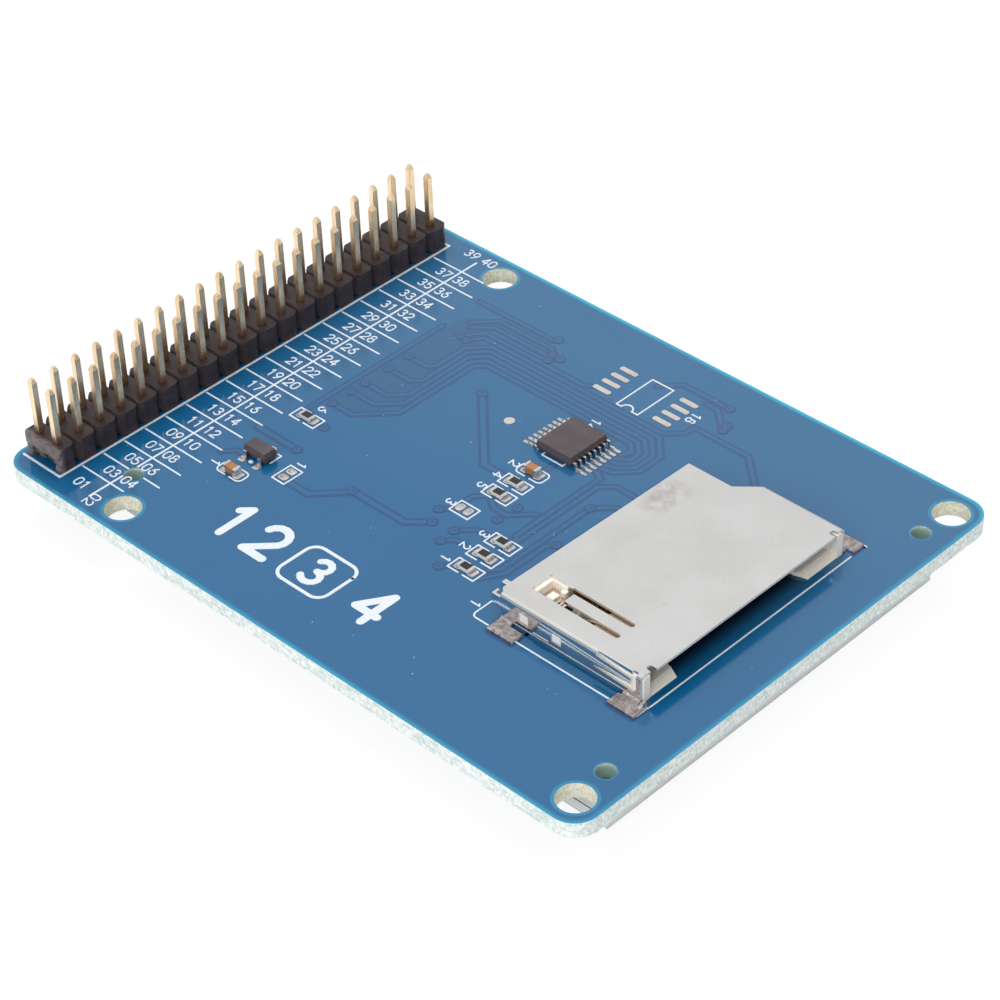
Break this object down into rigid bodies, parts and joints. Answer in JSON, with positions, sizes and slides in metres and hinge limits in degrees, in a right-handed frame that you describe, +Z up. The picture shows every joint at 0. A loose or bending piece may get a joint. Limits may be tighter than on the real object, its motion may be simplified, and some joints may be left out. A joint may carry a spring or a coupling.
{
  "type": "tft display module",
  "caption": "Display module lying face down: blue circuit board with a two-row pin header, a metal memory card socket and control parts on top, the flat display below",
  "frame": {"origin": "middle of the module's outline, on the touch film's outer face that it rests on", "axes": "+X from the pin header towards the card socket's mouth, +Y along the header's rows, +Z up out of the component side"},
  "size_m": [0.0726, 0.0546, 0.014],
  "materials": {
    "board": "glass fibre board under blue solder mask",
    "header_plastic": "black moulded plastic",
    "gold": "thin gold plating",
    "solder": "tinned metal",
    "steel_sheet": "satin nickel-plated sheet",
    "socket_plastic": "cream moulded plastic",
    "chip_plastic": "moulded epoxy",
    "ceramic": "white alumina",
    "coat": "black glass coat",
    "capacitor_ceramic": "brown ceramic",
    "white_plastic": "white moulded plastic",
    "polariser": "dark polarising film",
    "panel_glass": "thin clear glass",
    "black_tape": "black film tape",
    "light_sheet": "milky optical film",
    "light_guide": "clear acrylic",
    "cable_film": "amber polyimide film",
    "touch_film": "clear hard-coated film over the dark panel",
    "brown_tape": "brown adhesive tape",
    "white_tape": "white adhesive tape"
  },
  "bodies": {
    "root": {"circuit_board": "board", "header_body": "header_plastic", "header_pins": "gold", "header_solder": "solder", "bare_pads": "solder", "socket_shell": "steel_sheet", "socket_base": "socket_plastic", "socket_contacts": "gold", "detect_contacts": "gold", "touch_controller_body": "chip_plastic", "touch_controller_leads": "solder", "regulator_body": "chip_plastic", "regulator_leads": "solder", "resistor_ceramics": "ceramic", "resistor_coats": "coat", "resistor_terminals": "solder", "capacitor_ceramics": "capacitor_ceramic", "capacitor_terminals": "solder", "display_frame": "white_plastic", "front_polariser": "polariser", "filter_glass": "panel_glass", "array_glass": "panel_glass", "rear_polariser": "polariser", "shading_tape": "black_tape", "driver_chip": "chip_plastic", "upper_prism_sheet": "light_sheet", "lower_prism_sheet": "light_sheet", "diffuser_sheet": "light_sheet", "light_guide": "light_guide", "reflector_sheet": "light_sheet", "backlight_leds": "white_plastic", "backlight_cable": "cable_film", "touch_film": "touch_film", "touch_spacer": "black_tape", "touch_glass": "panel_glass", "front_tape": "brown_tape", "rear_tapes": "white_tape", "display_cable": "cable_film", "touch_cable": "cable_film", "cable_solder": "solder"}
  },
  "joints": []
}
